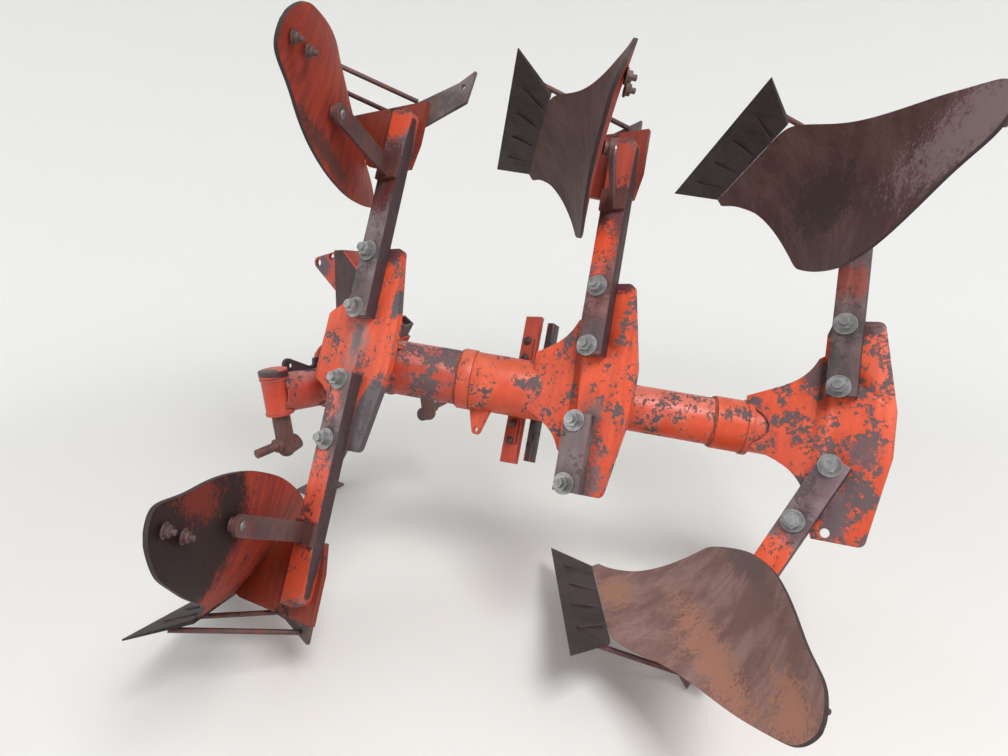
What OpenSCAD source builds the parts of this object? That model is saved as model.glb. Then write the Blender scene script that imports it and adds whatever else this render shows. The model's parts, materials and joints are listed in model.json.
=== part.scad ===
// Three-furrow mounted reversible mouldboard plough, parked leaning on its lower shares.
// Right-handed frame: +X to the tractor, +Y to the left, +Z up, millimetres.
// The beam is drawn in its own frame: X along the turnover axis, Z along the legs, origin at plate 2.

/* [Beam] */
// Step from one body to the next along the furrow
body_step_x = 600; // [592:1:610]
// Step from one body to the next across the furrows
body_step_y = 302; // [296:1:308]
// Outer diameter of the front beam tube
front_tube_d = 168; // [160:1:172]
// Outer diameter of the rear beam tube
rear_tube_d = 140; // [132:1:144]
// Wall of the beam tubes
tube_wall = 10; // [8:0.5:12]
// Wall of the sleeves over the tube joints
sleeve_wall = 5; // [4:0.5:8]
// Half height of the leg plates
plate_half = 300; // [292:1:306]
// Thickness of the leg plates
plate_t = 20; // [16:1:22]

/* [Legs] */
// Width of a leg along the beam
leg_w = 76; // [70:1:80]
// Thickness of a leg
leg_t = 40; // [34:1:42]
// Distance from the beam centre to a leg's outer end
leg_end = 735; // [725:1:745]
// Length of the stub left where one leg is missing
stub_end = 300; // [280:1:306]
// Angle at which the tripped rear leg has swung forward
trip_angle = 25; // [22:1:27]
// Diameter of the leg bolts
leg_bolt_d = 24; // [20:1:26]

/* [Bodies] */
// Thickness of a mouldboard
board_t = 9; // [7:0.5:11]
// Thickness of a share at its back edge
share_t = 12; // [9:0.5:13]
// Thickness of the landside bar
landside_t = 12; // [10:0.5:14]
// Diameter of the tie rods behind a body
tie_d = 15; // [12:0.5:18]

/* [Headstock] */
// Diameter of the turnover shaft
shaft_d = 70; // [64:1:74]
// Outer diameter of the turnover bearing housing
housing_d = 150; // [140:1:156]
// Diameter of the cross tube
cross_d = 125; // [118:1:130]
// Distance from the turnover axis to a hitch sleeve
hitch_half = 354; // [346:1:362]
// Diameter of the lower hitch pins
lower_pin_d = 28.4; // [26:0.1:30]
// Diameter of the top link holes
top_hole_d = 25.7; // [24:0.1:27]
// Height of the mast above the turnover axis
mast_top = 404; // [396:1:412]

/* [Parking] */
// Lean of the beam about the turnover axis, tops away from the left side
beam_roll = 28.3; // [28.1:0.1:28.5]
// Lean of the headstock in the same direction
head_roll = 9; // [7:0.5:11]
// Fall of the whole plough towards the front
pitch = 5.54; // [5.4:0.02:5.7]
// Width of the square parking leg
park_leg_w = 50; // [44:1:54]

/* [Hidden] */
$fn = 48;
seat = 0.2;
run = 0.08;
bolt_gap = 0.2;
origin_x = -335.2;
origin_y = -107.5;
axis_y = -12;
tube_slope = body_step_y / body_step_x;
tube_turn = atan(tube_slope);
tube_cross_x = 340;
tube_z = -18;
front_x = 735;
arm_t = 40;
ring_x = [408, 372];
sleeve_end_x = 176;
neck_x = [-272, -357];
rear_end_x = -640;
front_r = front_tube_d / 2;
rear_r = rear_tube_d / 2;
ring_r = front_r + sleeve_wall + 4;
sleeve_r = front_r + sleeve_wall;
neck_r = rear_r + 7.5;
bolt_z = [106, 279];
bolt_r = leg_bolt_d / 2;
shaft_r = shaft_d / 2;
housing_r = housing_d / 2;
cross_r = cross_d / 2;
cross_x = 900;
cross_z = -54;
disc_y = [-166, 154];
disc_t = 12;
disc_rise = 9;
crank_r = 28;
hitch_r = 41;
hitch_top = 54;
hitch_low = -66;
hitch_rim = 3;
cap_h = 22;
crank_top = 40;
crank_low = -182;
crank_toe = 45;
pin_z = -163;
pin_hub_r = 22;
pin_from = 38;
pin_l = 70;
lug_x = 945;
lug_t = 12;
lug_hole = [hitch_half - 91.5, 22];
lug_hole_r = 8;
rust = [0.42, 0.25, 0.2];
paint = [0.85, 0.25, 0.12];
steel = [0.45, 0.43, 0.44];
dark = [0.16, 0.14, 0.15];
zinc = [0.75, 0.76, 0.78];

// mouldboard outline: place along the body, edge nearest the beam, edge at the share or wing
board_cut = [
  // e, inner, outer
  [-430, 771, 789],
  [-369, 750, 791.4],
  [-310, 715, 793.8],
  [-262, 685, 795.8],
  [-222, 620, 797.4],
  [-194, 550, 798.6],
  [-176, 512, 799.3],
  [-160, 485, 799.9],
  [-120, 466, 801.5],
  [-50, 440, 804.4],
  [36, 415, 808],
  [110, 398, 776],
  [188, 390, 738],
  [260, 386, 711],
  [328, 389, 691],
  [400, 397, 671],
  [481, 414, 647],
  [550, 435, 620],
  [610, 444, 596],
  [640, 449, 582],
  [665, 458, 560],
  [682, 478, 536],
  [689, 498, 519]
];
rows = 8;

// share corners: place along the body, distance ahead of it, distance from the beam centre
share_tip = [-560, 372, 845];
share_end = [155, 372, 847];

// the five bodies: step along the beam, side (1 up, -1 down), tripped, long landside kept
body_table = [
  // step, side, tripped, long
  [1, 1, 0, 1],
  [0, 1, 0, 0],
  [-1, 1, 0, 0],
  [1, -1, 0, 0],
  [-1, -1, 1, 0]
];

// height of a beam point, and of a point on a body, over the beam's origin
function rise(p) = cos(pitch) * (sin(beam_roll) * p[1] + cos(beam_roll) * p[2]) - sin(pitch) * p[0];
function body_point(b, p) = let(t = b[2] * trip_angle, z = p[2] - bolt_z[0])
  [b[0] * body_step_x + p[0] * cos(t) + z * sin(t), b[0] * body_step_y + p[1],
   b[1] * (bolt_z[0] + z * cos(t) - p[0] * sin(t))];

module park() {
  translate([origin_x, origin_y, floor_lift]) rotate([beam_roll, pitch, 0]) children();
}

module head() {
  translate([origin_x, origin_y, floor_lift]) rotate([beam_roll, pitch, 0])
    translate([0, axis_y, 0]) rotate([head_roll - beam_roll, 0, 0]) children();
}

// one body's place; bodies are drawn with the soil at +Z
module at_body(step, side, tripped) {
  park() translate([step * body_step_x, step * body_step_y, 0])
    mirror([0, 0, side > 0 ? 0 : 1])
      translate([0, 0, bolt_z[0]]) rotate([0, tripped * trip_angle, 0]) translate([0, 0, -bolt_z[0]])
        children();
}

// board surface: distance ahead of the body at place e and height z
function board_u(z) = max(0, (z - 400) / 410);
function board_tw(z) = max(-0.03, 0.16 * (1 - board_u(z) / 0.58));
function board_n(e, z) = 108 + 148 * pow(board_u(z), 2.5) + board_tw(z) * (e - 100);
// point from along-body, ahead and height to x, y, z
wing_c = 0.803;
wing_s = 0.597;
function spot(e, n, z) = [n * wing_c - e * wing_s, e * wing_c + n * wing_s, z];
// distance ahead of the board's back, where it crosses the plane y
function board_e(y, z) = (y - wing_s * (108 + 148 * pow(board_u(z), 2.5) - 100 * board_tw(z)))
  / (wing_c + wing_s * board_tw(z));
function board_x(y, z) = let(e = board_e(y, z)) board_n(e, z) * wing_c - e * wing_s;

module moldboard() {
  cols = len(board_cut);
  n = rows + 1;
  front = [for (c = board_cut) for (j = [0:rows])
    let(z = c[1] + (c[2] - c[1]) * j / rows) spot(c[0], board_n(c[0], z), z)];
  back = [for (c = board_cut) for (j = [0:rows])
    let(z = c[1] + (c[2] - c[1]) * j / rows) spot(c[0], board_n(c[0], z) - board_t, z)];
  m = cols * n;
  skin = [for (i = [0:cols - 2]) for (j = [0:rows - 1]) for (k = [0, 1])
    k == 0 ? [i * n + j, (i + 1) * n + j, (i + 1) * n + j + 1]
           : [i * n + j, (i + 1) * n + j + 1, i * n + j + 1]];
  under = [for (f = skin) [f[0] + m, f[2] + m, f[1] + m]];
  rim_low = [for (i = [0:cols - 2]) for (k = [0, 1])
    k == 0 ? [i * n, i * n + m, (i + 1) * n + m] : [i * n, (i + 1) * n + m, (i + 1) * n]];
  rim_high = [for (i = [0:cols - 2]) for (k = [0, 1])
    k == 0 ? [i * n + rows, (i + 1) * n + rows + m, i * n + rows + m]
           : [i * n + rows, (i + 1) * n + rows, (i + 1) * n + rows + m]];
  rim_first = [for (j = [0:rows - 1]) for (k = [0, 1])
    k == 0 ? [j, j + 1 + m, j + m] : [j, j + 1, j + 1 + m]];
  last = (cols - 1) * n;
  rim_last = [for (j = [0:rows - 1]) for (k = [0, 1])
    k == 0 ? [last + j, last + j + m, last + j + 1 + m] : [last + j, last + j + 1 + m, last + j + 1]];
  faces = concat(skin, under, rim_low, rim_high, rim_first, rim_last);
  color(rust) polyhedron(concat(front, back), [for (f = faces) [f[2], f[1], f[0]]]);
}

module share() {
  gap = seat + 0.1;
  inner_l = spot(-430, board_n(-430, 789), 789 + gap);
  inner_r = spot(36, board_n(36, 808), 808 + gap);
  wing = spot(share_end[0], share_end[1], share_end[2]);
  tip = spot(share_tip[0], share_tip[1], share_tip[2]);
  low_l = spot(-430, board_n(-430, 789) - 0.37 * share_t, 789 + gap + 0.93 * share_t);
  low_r = spot(36, board_n(36, 808) - 0.37 * share_t, 808 + gap + 0.93 * share_t);
  wing_low = spot(share_end[0], share_end[1] - 2, share_end[2] + 4);
  tip_low = spot(share_tip[0], share_tip[1] - 2, share_tip[2] + 4);
  color(dark) polyhedron([tip, wing, inner_r, inner_l, tip_low, wing_low, low_r, low_l],
    [[1, 2, 0], [2, 3, 0], [6, 5, 4], [7, 6, 4], [5, 1, 0], [4, 5, 0], [6, 2, 1], [5, 6, 1],
     [7, 3, 2], [6, 7, 2], [4, 0, 3], [7, 4, 3]]);
}

frog_y = [-16, -0.2];
frog_end = 778;
board_back = board_t * 1.32 + 0.4;
land_y = -66;
land_x = -6;
// the front share's point rests on the floor, and so does the rear body's landside end
floor_lift = -rise(body_point(body_table[3],
  spot(share_tip[0], share_tip[1] - 2, share_tip[2] + 4)));
land_low = rise(body_point(body_table[4], [land_x, land_y, 800]));
land_high = rise(body_point(body_table[4], [land_x, land_y, 900]));
land_end = 800 + 100 * (-floor_lift - land_low) / (land_high - land_low);

// the frog's plates between leg, mouldboard and landside
module frog() {
  edge = [for (z = [590:20:770]) [board_x(frog_y[1], z) - board_back, z]];
  color(dark) {
    translate([0, frog_y[1], 0]) rotate([90, 0, 0]) linear_extrude(frog_y[1] - frog_y[0])
      polygon(concat([[-44, 560], [32, 560]], edge, [[250, frog_end], [-60, frog_end], [-60, 640]]));
    translate([20, land_y + landside_t + seat, 700])
      cube([16, frog_y[0] - land_y - landside_t - seat, frog_end - 700]);
    translate([180, land_y + landside_t + seat, 740])
      cube([16, frog_y[0] - land_y - landside_t - seat, frog_end - 740]);
  }
}

// landside bar; one still has its long end with the cast heel
module landside(long) {
  rear = long == 1 ? [[100, 806], [-120, 862], [-176, 893], [-162, 792], [60, 708]]
    : [[100, 806], [land_x, land_end], [land_x, 690], [60, 700]];
  color(steel) difference() {
    translate([0, land_y + landside_t, 0]) rotate([90, 0, 0]) linear_extrude(landside_t)
      polygon(concat([for (z = [640:20:780]) [board_x(land_y + landside_t, z) - board_back, z]], rear,
        [[170, 690]]));
    if (long == 1) translate([-140, land_y - 1, 846]) rotate([-90, 0, 0]) cylinder(r = 9, h = landside_t + 2);
  }
}

rod_from = [[40, 311, 843], [-100, 292.5, 838]];
rod_to = [[29, 821], [118, 789]];
rod_in = [2.9, 1.4];

// stay from the leg to the wing, and the tie rods to the landside
module brace() {
  far_n = board_n(360, 504) - board_t - 1.8 - 0.3;
  far = spot(360, far_n - 22, 504);
  near = [-6, leg_t + 12, 537];
  run_v = far - near;
  turn = atan2(run_v[1], run_v[0]);
  len = norm([run_v[0], run_v[1]]);
  color(paint) {
    translate([-44, leg_t + seat, 505]) cube([leg_w, 12, 64]);
    translate(near) rotate([0, 0, turn]) rotate([0, atan2(33, len), 0]) translate([0, -6, -26])
      cube([len, 12, 52]);
    translate(far) rotate([0, 0, turn]) rotate([90, 0, 0]) translate([0, 0, -6]) cylinder(r = 26, h = 12);
    translate(spot(360, far_n - 22, 504)) rotate([0, 90, atan2(wing_s, wing_c)]) cylinder(r = 17, h = 22);
  }
}

module tie_rods() {
  color(steel) for (i = [0, 1]) {
    from = spot(rod_from[i][0], rod_from[i][1], rod_from[i][2]);
    to = [rod_to[i][0], land_y + landside_t + tie_d / 2 + seat - rod_in[i], rod_to[i][1]];
    rod(from, to, tie_d / 2);
  }
}

// round bar between two points
module rod(from, to, r) {
  v = to - from;
  translate(from) rotate([0, acos(v[2] / norm(v)), atan2(v[1], v[0])]) cylinder(r = r, h = norm(v));
}

// leg bar from the beam outwards
module leg(end, rounded) {
  color(steel) difference() {
    translate([-44, seat, 84]) cube([leg_w, leg_t - seat, end - 84]);
    for (z = bolt_z) if (z + 20 < end)
      translate([0, -1, z]) rotate([-90, 0, 0]) cylinder(r = bolt_r + bolt_gap, h = leg_t + 2);
    if (rounded) translate([-44, -1, end - 30]) difference() {
      cube([31, leg_t + 2, 31]);
      translate([30, -1, 0]) rotate([-90, 0, 0]) cylinder(r = 30, h = leg_t + 4);
    }
  }
}

// bolt with washer and nut, head behind the plate
module leg_bolt(x, z) {
  color(zinc) translate([x, 0, z]) rotate([-90, 0, 0]) {
    translate([0, 0, -plate_t - 18]) cylinder(r = bolt_r, h = plate_t + 18 + leg_t + 38);
    translate([0, 0, leg_t + seat]) cylinder(r = 30, h = 5);
    translate([0, 0, leg_t + seat + 5]) cylinder(r = 21, h = 20, $fn = 6);
    translate([0, 0, -plate_t - 18]) cylinder(r = 21, h = 18 - seat, $fn = 6);
  }
}

// bolt left in the tripped leg
module shear_bolt() {
  color(zinc) translate([0, 0, bolt_z[1]]) rotate([-90, 0, 0]) {
    translate([0, 0, 2]) cylinder(r = bolt_r, h = leg_t + 36);
    translate([0, 0, leg_t + seat]) cylinder(r = 30, h = 5);
    translate([0, 0, leg_t + seat + 5]) cylinder(r = 21, h = 20, $fn = 6);
  }
}

// leg plate outline, symmetric above and below the beam centre
module plate_shape(neck) {
  h = plate_half;
  difference() {
    union() {
      hull() {
        translate([-75, h - 20]) circle(r = 20);
        translate([-75, 20 - h]) circle(r = 20);
        translate([-137, -60]) square([4, 120]);
        translate([-40, -h]) square([71, 2 * h]);
        translate([0, 42 - h]) square([45, 2 * h - 84]);
      }
      translate([0, -neck[1]]) square([57, 2 * neck[1]]);
      polygon([[40, 200], [57, 190], [98, 138], [139, 107], [neck[0], neck[2]], [neck[0], -neck[2]],
        [139, -107], [98, -138], [57, -190], [40, -200]]);
    }
    translate([190, 240]) circle(r = 141);
    translate([190, -240]) circle(r = 141);
  }
}

// neck: how far the plate reaches ahead, half height at its root, half height at its end
neck_table = [
  [150, 190, front_r + 14],
  [180, 190, sleeve_r - 1],
  [236, 190, rear_r - 2]
];

module leg_plate(step) {
  color(paint) difference() {
    rotate([90, 0, 0]) linear_extrude(plate_t) plate_shape(neck_table[1 - step]);
    for (z = [-bolt_z[1], -bolt_z[0], bolt_z[0], bolt_z[1]])
      translate([0, -plate_t - 1, z]) rotate([-90, 0, 0]) cylinder(r = bolt_r + bolt_gap, h = plate_t + 2);
    translate([-step * body_step_x, -step * body_step_y, 0])
      tube_line(step == 1 ? front_x + 60 : step == 0 ? ring_x[1] : neck_x[0],
        step == 1 ? ring_x[0] : step == 0 ? 60 : rear_end_x,
        (step == 1 ? front_r : step == 0 ? sleeve_r : neck_r) + seat);
    if (step == 0) tube_line(sleeve_end_x, -160, rear_r + seat);
    if (step == -1) translate([body_step_x, body_step_y, 0]) {
      tube_line(neck_x[1], rear_end_x, rear_r + seat);
      tube_line(neck_x[1] + 8, neck_x[1] - 8 - seat, neck_r + 4 + seat);
    }
  }
}

// solid cylinder on the beam line between two places along X
module tube_line(xa, xb, r) {
  translate([xb, (xb - tube_cross_x) * tube_slope, tube_z]) rotate([0, 90, tube_turn])
    cylinder(r = r, h = (xa - xb) / cos(tube_turn));
}

// hollow length of the beam line
module tube_part(xa, xb, r_out, r_in) {
  difference() {
    tube_line(xa, xb, r_out);
    tube_line(xa + 5, xb - 5, r_in);
  }
}

// ribs behind a plate, welded to the tube
module saddle(step) {
  r = (step == 1 ? front_r : step == 0 ? sleeve_r : rear_r) + seat;
  color(paint) difference() {
    for (z = [-62, 26])
      translate([step * body_step_x - 60, step * body_step_y - 170, z]) cube([150, 170 - plate_t - seat, 12]);
    tube_line(step * body_step_x + 300, step * body_step_x - 300, r);
  }
}

module turnover_arm() {
  color(paint) difference() {
    translate([front_x, 0, 0]) rotate([90, 0, 90]) linear_extrude(arm_t) hull() {
      translate([axis_y, 0]) circle(r = 82);
      translate([(front_x - tube_cross_x) * tube_slope, tube_z]) circle(r = 96);
    }
    translate([front_x - 1, axis_y, 0]) rotate([0, 90, 0]) cylinder(r = shaft_r + seat, h = arm_t + 2);
    translate([front_x - 1, body_step_y - plate_t - seat, -100]) cube([arm_t + 2, 60, 200]);
  }
}

module turnover_shaft() {
  color(steel) translate([0, axis_y, 0]) rotate([0, 90, 0]) {
    translate([0, 0, front_x]) cylinder(r = shaft_r, h = 360);
    translate([0, 0, 1056]) cylinder(r = 56, h = 10);
    translate([0, 0, 1066]) cylinder(r = 50, h = 28, $fn = 6);
  }
}

module front_tube() {
  color(paint) difference() {
    tube_part(front_x + 60, ring_x[0], front_r, front_r - tube_wall);
    translate([front_x - seat, 0, -200]) cube([200, 500, 400]);
  }
}

module collar_ring() {
  color(paint) tube_part(ring_x[0] - seat, ring_x[1] + seat, ring_r, front_r - tube_wall);
}

module beam_sleeve() {
  color(paint) tube_part(ring_x[1], sleeve_end_x, sleeve_r, rear_r + seat);
}

module rear_tube() {
  color(paint) tube_part(ring_x[1] - 20, rear_end_x, rear_r, rear_r - tube_wall);
}

module neck_sleeve() {
  color(paint) difference() {
    union() {
      tube_line(neck_x[0], neck_x[1], neck_r);
      tube_line(neck_x[1] + 8, neck_x[1] - 8, neck_r + 4);
    }
    tube_line(neck_x[0] + 5, neck_x[1] - 13, rear_r + seat);
  }
}

module beam_lug() {
  color(paint) difference() {
    translate([340, 6, 0]) rotate([90, 0, 0]) linear_extrude(12) hull() {
      translate([-36, -108]) square([72, 10]);
      translate([0, -166]) circle(r = 15);
    }
    tube_line(ring_x[1], 200, sleeve_r + seat);
    translate([340, -10, -166]) rotate([-90, 0, 0]) cylinder(r = 8, h = 20);
  }
}

module stop_bars() {
  difference() {
    union() {
      color(paint) translate([262, -148, -245]) cube([56, 20, 480]);
      color(dark) translate([222, -186, -230]) cube([22, 40, 450]);
    }
    tube_line(ring_x[1], sleeve_end_x, sleeve_r + seat);
  }
}

module bearing_housing() {
  color(paint) difference() {
    union() {
      translate([820, 0, 0]) rotate([0, 90, 0]) cylinder(r = housing_r, h = 230);
      translate([820, 0, 0]) rotate([0, 90, 0]) cylinder(r = housing_r + 6, h = 14);
      translate([1036, 0, 0]) rotate([0, 90, 0]) cylinder(r = housing_r + 6, h = 14);
    }
    translate([819, 0, 0]) rotate([0, 90, 0]) cylinder(r = shaft_r + run, h = 232);
  }
}

module cross_tube() {
  color(paint) difference() {
    union() {
      translate([cross_x, -hitch_half, cross_z]) rotate([-90, 0, 0]) cylinder(r = cross_r, h = 2 * hitch_half);
      for (y = disc_y) translate([cross_x, y, cross_z]) rotate([-90, 0, 0])
        cylinder(r = cross_r + disc_rise, h = disc_t);
    }
    translate([cross_x, -hitch_half - 1, cross_z]) rotate([-90, 0, 0])
      cylinder(r = cross_r - 10, h = 2 * hitch_half + 2);
    translate([825, 0, 0]) rotate([0, 90, 0]) cylinder(r = housing_r + seat, h = 220);
    for (s = [-1, 1]) hitch_place(s) {
      translate([0, 0, -120]) cylinder(r = hitch_r + seat, h = 240);
      translate([0, 0, hitch_low - 40]) cylinder(r = hitch_r + hitch_rim + seat, h = 47 + seat);
      translate([0, 0, hitch_top - 8 - seat]) cylinder(r = hitch_r + hitch_rim + seat, h = 60);
    }
  }
}

// a hitch sleeve's place; the sleeves stand upright
module hitch_place(s) {
  translate([cross_x, s * hitch_half, cross_z]) rotate([-head_roll, 0, 0]) children();
}

module hitch_sleeve(s) {
  hitch_place(s) {
    color(paint) difference() {
      union() {
        translate([0, 0, hitch_low]) cylinder(r = hitch_r, h = hitch_top - hitch_low);
        translate([0, 0, hitch_low]) cylinder(r = hitch_r + hitch_rim, h = 7);
        translate([0, 0, hitch_top - 8]) cylinder(r = hitch_r + hitch_rim, h = 6);
      }
      translate([0, 0, hitch_low - 1]) cylinder(r = crank_r + seat, h = crank_top - hitch_low + 5);
    }
    color(dark) translate([0, 0, hitch_top + seat]) cylinder(r = hitch_r + hitch_rim, h = cap_h);
  }
}

// cranked hitch pin: shank, foot bent inwards and the pin outwards
module hitch_crank(s) {
  color(dark) hitch_place(s) {
    translate([0, 0, crank_low]) cylinder(r = crank_r, h = crank_top - crank_low);
    translate([0, 0, crank_low]) sphere(r = crank_r);
    rotate([0, 0, s > 0 ? 0 : 180]) {
      translate([0, 0, crank_low]) rotate([78, 0, 0]) cylinder(r = crank_r - 2, h = crank_toe);
      translate([0, 0, pin_z]) rotate([-90, 0, 0]) cylinder(r = pin_hub_r, h = pin_from);
      translate([0, 0, pin_z]) rotate([-90, 0, 0]) cylinder(r = lower_pin_d / 2, h = pin_from + pin_l);
    }
  }
}

module mast_post() {
  color(paint) difference() {
    translate([920, -35, housing_r - 8]) cube([42, 70, mast_top - housing_r + 8]);
    translate([928, -27, housing_r - 10]) cube([26, 54, mast_top]);
    translate([840, 0, 0]) rotate([0, 90, 0]) cylinder(r = housing_r + seat, h = 220);
  }
}

module mast_cheeks() {
  color(dark) difference() {
    for (y = [-45 - seat, 35 + seat]) translate([0, y + 10, 0]) rotate([90, 0, 0]) linear_extrude(10)
      polygon([[962, 40], [962, mast_top], [924, mast_top], [855, 334], [868, 40]]);
    translate([840, 0, 0]) rotate([0, 90, 0]) cylinder(r = housing_r + seat, h = 220);
  }
}

// sloping plate closing the cheeks at the rear
module mast_back() {
  slope = atan2(mast_top - 334, 924 - 855);
  color(paint) translate([855, -46, 334]) rotate([0, -slope, 0]) translate([0, 0, seat])
    cube([88, 92, 8]);
}

module nose_plates() {
  color(paint) difference() {
    for (y = [-38, 26]) translate([0, y + 12, 0]) rotate([90, 0, 0]) linear_extrude(12) hull() {
      translate([962 + seat, 262]) square([4, 138]);
      translate([1052, 364]) circle(r = 20);
    }
    for (h = [[1052, 364], [984, 382]]) translate([h[0], -40, h[1]]) rotate([-90, 0, 0])
      cylinder(r = top_hole_d / 2, h = 80);
  }
}

// plate on the cross tube, with a hole at its outer end and a raised step at its inner end
module lug_plate() {
  low = cross_z + cross_r - 30;
  color(dark) difference() {
    translate([lug_x - lug_t / 2, 0, 0]) rotate([90, 0, 90]) linear_extrude(lug_t) {
      hull() {
        translate([lug_hole[0] + 10, lug_hole[1] + 4]) circle(r = 20);
        translate([lug_hole[0] - 10, low]) square([8, 20]);
        translate([disc_y[1] + 20, low]) square([8, 30]);
      }
      translate([disc_y[1], 0])
        polygon([[28, low], [28, 14], [16, 16], [14, 38], [4, 41], [-20, 41], [-20, low]]);
    }
    translate([lug_x - lug_t, lug_hole[0], lug_hole[1]]) rotate([0, 90, 0])
      cylinder(r = lug_hole_r, h = 2 * lug_t);
    translate([cross_x, 100, cross_z]) rotate([-90, 0, 0]) cylinder(r = cross_r + seat, h = 240);
    translate([cross_x, disc_y[1] - seat, cross_z]) rotate([-90, 0, 0])
      cylinder(r = cross_r + disc_rise + seat, h = disc_t + 2 * seat);
  }
}

park_top = [967, -222, -132];
park_foot = [1425, -222, -floor_lift];
park_v = park_top - park_foot;
park_len = norm(park_v);
park_turn = atan2(-park_v[0], park_v[2]);
shoe_t = 10;

// parking leg's own frame: Z along the leg from the foot
module at_leg() {
  translate([origin_x, origin_y, floor_lift]) translate(park_foot) rotate([0, -park_turn, 0]) children();
}

module park_sleeve() {
  w = park_leg_w / 2;
  color(paint) difference() {
    at_leg() translate([-w - 8, -w - 8, park_len - 60]) cube([2 * w + 16, 2 * w + 16, 200]);
    at_leg() translate([-w - 0.5, -w - 0.5, park_len - 70]) cube([2 * w + 1, 2 * w + 1, 230]);
    head() translate([cross_x, -hitch_half, cross_z]) rotate([-90, 0, 0]) cylinder(r = cross_r + seat, h = 300);
  }
}

module park_clamp() {
  w = park_leg_w / 2;
  color(steel) at_leg() translate([w + 8 + seat, 0, park_len + 90]) rotate([0, 90, 0]) {
    cylinder(r = 14, h = 16, $fn = 6);
    translate([0, 0, 15]) cylinder(r = 8, h = 35);
    translate([0, 40, 40]) rotate([90, 0, 0]) cylinder(r = 6, h = 80);
  }
}

module park_leg() {
  w = park_leg_w / 2;
  color(dark) difference() {
    at_leg() translate([-w, -w, -30]) cube([2 * w, 2 * w, park_len + 230]);
    at_leg() translate([-w + 6, -w + 6, 60]) cube([2 * w - 12, 2 * w - 12, park_len + 200]);
    translate([origin_x, origin_y, floor_lift]) translate(park_foot) translate([-100, -100, shoe_t + seat - 200])
      cube(200);
  }
}

module park_shoe() {
  color(dark) translate([origin_x, origin_y, floor_lift]) translate(park_foot) translate([-70, -80, 0])
    cube([140, 160, shoe_t]);
}

module upper_leg(step) {
  at_body(step, 1, 0) leg(leg_end, true);
}

module leg_bolts() {
  for (step = [-1:1]) park() translate([step * body_step_x, step * body_step_y, 0])
    for (z = [-bolt_z[1], -bolt_z[0], bolt_z[0], bolt_z[1]])
      if (!(step == -1 && z == -bolt_z[1])) leg_bolt(0, z);
}

module body_moldboard(i) { at_body(body_table[i][0], body_table[i][1], body_table[i][2]) moldboard(); }
module body_share(i) { at_body(body_table[i][0], body_table[i][1], body_table[i][2]) share(); }
module body_frog(i) { at_body(body_table[i][0], body_table[i][1], body_table[i][2]) frog(); }
module body_landside(i) {
  at_body(body_table[i][0], body_table[i][1], body_table[i][2]) landside(body_table[i][3]);
}
module body_stays(i) {
  at_body(body_table[i][0], body_table[i][1], body_table[i][2]) {
    brace();
    tie_rods();
  }
}

module saddles() { park() for (step = [-1:1]) saddle(step); }
module hitch_sleeves() { head() for (s = [-1, 1]) hitch_sleeve(s); }
module hitch_cranks() { head() for (s = [-1, 1]) hitch_crank(s); }
module upper_moldboard_1() { body_moldboard(0); }
module upper_moldboard_2() { body_moldboard(1); }
module upper_moldboard_3() { body_moldboard(2); }
module lower_moldboard_1() { body_moldboard(3); }
module lower_moldboard_3() { body_moldboard(4); }
module upper_share_1() { body_share(0); }
module upper_share_2() { body_share(1); }
module upper_share_3() { body_share(2); }
module lower_share_1() { body_share(3); }
module lower_share_3() { body_share(4); }
module upper_frog_1() { body_frog(0); }
module upper_frog_2() { body_frog(1); }
module upper_frog_3() { body_frog(2); }
module lower_frog_1() { body_frog(3); }
module lower_frog_3() { body_frog(4); }
module upper_landside_1() { body_landside(0); }
module upper_landside_2() { body_landside(1); }
module upper_landside_3() { body_landside(2); }
module lower_landside_1() { body_landside(3); }
module lower_landside_3() { body_landside(4); }
module upper_stays_1() { body_stays(0); }
module upper_stays_2() { body_stays(1); }
module upper_stays_3() { body_stays(2); }
module lower_stays_1() { body_stays(3); }
module lower_stays_3() { body_stays(4); }
module upper_leg_1() { upper_leg(1); }
module upper_leg_2() { upper_leg(0); }
module upper_leg_3() { upper_leg(-1); }
module lower_leg_1() { at_body(1, -1, 0) leg(leg_end, true); }
module lower_leg_stub_2() { at_body(0, -1, 0) leg(stub_end, false); }
module lower_leg_3() { at_body(-1, -1, 1) leg(leg_end, true); }
module trip_bolt() { at_body(-1, -1, 1) shear_bolt(); }
module plate_1() { park() translate([body_step_x, body_step_y, 0]) leg_plate(1); }
module plate_2() { park() leg_plate(0); }
module plate_3() { park() translate([-body_step_x, -body_step_y, 0]) leg_plate(-1); }

head() bearing_housing();
head() cross_tube();
hitch_sleeves();
hitch_cranks();
head() mast_post();
head() mast_cheeks();
head() mast_back();
head() nose_plates();
head() lug_plate();
park_sleeve();
park_clamp();
park_leg();
park_shoe();
park() turnover_shaft();
park() turnover_arm();
park() front_tube();
park() collar_ring();
park() beam_sleeve();
park() rear_tube();
park() neck_sleeve();
park() beam_lug();
saddles();
plate_1();
plate_2();
plate_3();
park() stop_bars();
upper_leg_1();
upper_leg_2();
upper_leg_3();
lower_leg_1();
lower_leg_stub_2();
lower_leg_3();
leg_bolts();
trip_bolt();
upper_moldboard_1();
upper_moldboard_2();
upper_moldboard_3();
lower_moldboard_1();
lower_moldboard_3();
upper_share_1();
upper_share_2();
upper_share_3();
lower_share_1();
lower_share_3();
upper_frog_1();
upper_frog_2();
upper_frog_3();
lower_frog_1();
lower_frog_3();
upper_landside_1();
upper_landside_2();
upper_landside_3();
lower_landside_1();
lower_landside_3();
upper_stays_1();
upper_stays_2();
upper_stays_3();
lower_stays_1();
lower_stays_3();
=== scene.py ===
import bpy, json
from math import atan2, cos, pi, radians, sin
from mathutils import Matrix, Vector

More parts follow.
